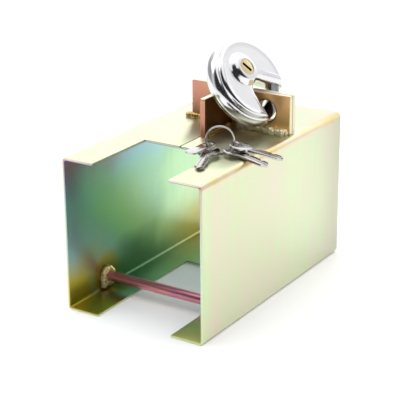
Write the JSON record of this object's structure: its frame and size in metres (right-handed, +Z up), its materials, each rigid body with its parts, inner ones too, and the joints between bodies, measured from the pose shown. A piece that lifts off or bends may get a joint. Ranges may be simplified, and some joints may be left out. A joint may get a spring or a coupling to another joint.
{
  "type": "trailer coupling lock box",
  "caption": "Two-part folded steel box that closes around a trailer coupling, with overlapping lugs held by a round discus padlock and a ring of keys lying on top.",
  "frame": {"origin": "middle of the whole object's footprint on the floor, at the underside of the box", "axes": "+X to the right seen from the notched front end, +Y from the notched front end to the plain rear end, +Z up"},
  "size_m": [0.1386, 0.205, 0.187],
  "materials": {
    "zinc_steel": "yellow passivated zinc, semi-gloss",
    "weld_bead": "zinc plated weld, rough",
    "stainless": "polished",
    "case_metal": "cast, dull",
    "brass": "satin",
    "hard_steel": "plain",
    "nickel": "nickel plated"
  },
  "bodies": {
    "left_half": {"left_shell": "zinc_steel", "retaining_rod": "zinc_steel", "rod_weld": "weld_bead", "left_lug": "zinc_steel", "left_lug_weld": "weld_bead"},
    "right_half": {"right_shell": "zinc_steel", "right_lug": "zinc_steel", "guard_plate": "zinc_steel", "right_lug_weld": "weld_bead", "guard_weld": "weld_bead", "rod_socket": "zinc_steel", "socket_weld": "weld_bead"},
    "padlock": {"padlock_front_shell": "stainless", "padlock_rear_shell": "stainless", "case_front": "case_metal", "case_rear": "case_metal", "cylinder_housing": "brass"},
    "shackle": {"shackle": "stainless"},
    "plug": {"cylinder_plug": "brass", "drive_cam": "hard_steel", "cam_screw": "hard_steel"},
    "bunch": {"key_ring": "nickel"},
    "key_a": {"key_1": "nickel"},
    "key_b": {"key_2": "nickel"},
    "key_c": {"key_3": "nickel"},
    "tag": {"key_tag": "nickel"}
  },
  "joints": [
    {"name": "half_slide", "type": "slide", "parent": "left_half", "child": "right_half", "axis": [1, 0, 0], "range_m": [0, 0.0018]},
    {"name": "padlock_swing", "type": "hinge", "parent": "left_half", "child": "padlock", "pos_m": [0.02446, 0.0327, 0.13498], "axis": [0, 1, 0], "range_deg": [0, 70]},
    {"name": "shackle_turn", "type": "hinge", "parent": "padlock", "child": "shackle", "pos_m": [0.00833, 0.0255, 0.15619], "axis": [-0.8075, 0.0941, -0.5824], "range_deg": [0, 84.8]},
    {"name": "plug_turn", "type": "hinge", "parent": "padlock", "child": "plug", "pos_m": [0.00268, 0.02053, 0.16322], "axis": [-0.8075, 0.0941, -0.5824], "range_deg": [0, 186]},
    {"name": "bunch_lift", "type": "slide", "parent": "right_half", "child": "bunch", "axis": [0, 0, 1], "range_m": [0, 0.06]},
    {"name": "key_a_fan", "type": "hinge", "parent": "bunch", "child": "key_a", "pos_m": [0.03251, -0.03234, 0.1264], "axis": [0.1888, 0.0457, 0.981], "range_deg": [-10, 20]},
    {"name": "key_b_fan", "type": "hinge", "parent": "bunch", "child": "key_b", "pos_m": [0.03029, -0.0337, 0.1226], "axis": [0.0847, -0.0205, 0.9962], "range_deg": [-20, 10]},
    {"name": "key_c_fan", "type": "hinge", "parent": "bunch", "child": "key_c", "pos_m": [0.01881, -0.0407, 0.1226], "axis": [0.0148, -0.0429, 0.999], "range_deg": [-12, 12]},
    {"name": "tag_fan", "type": "hinge", "parent": "bunch", "child": "tag", "pos_m": [0.01672, -0.04197, 0.1264], "axis": [-0.0036, -0.0347, 0.9994], "range_deg": [-12, 12]}
  ],
  "couplings": [
    {"joint": "plug_turn", "follows": "shackle_turn", "ratio": 2.191}
  ]
}
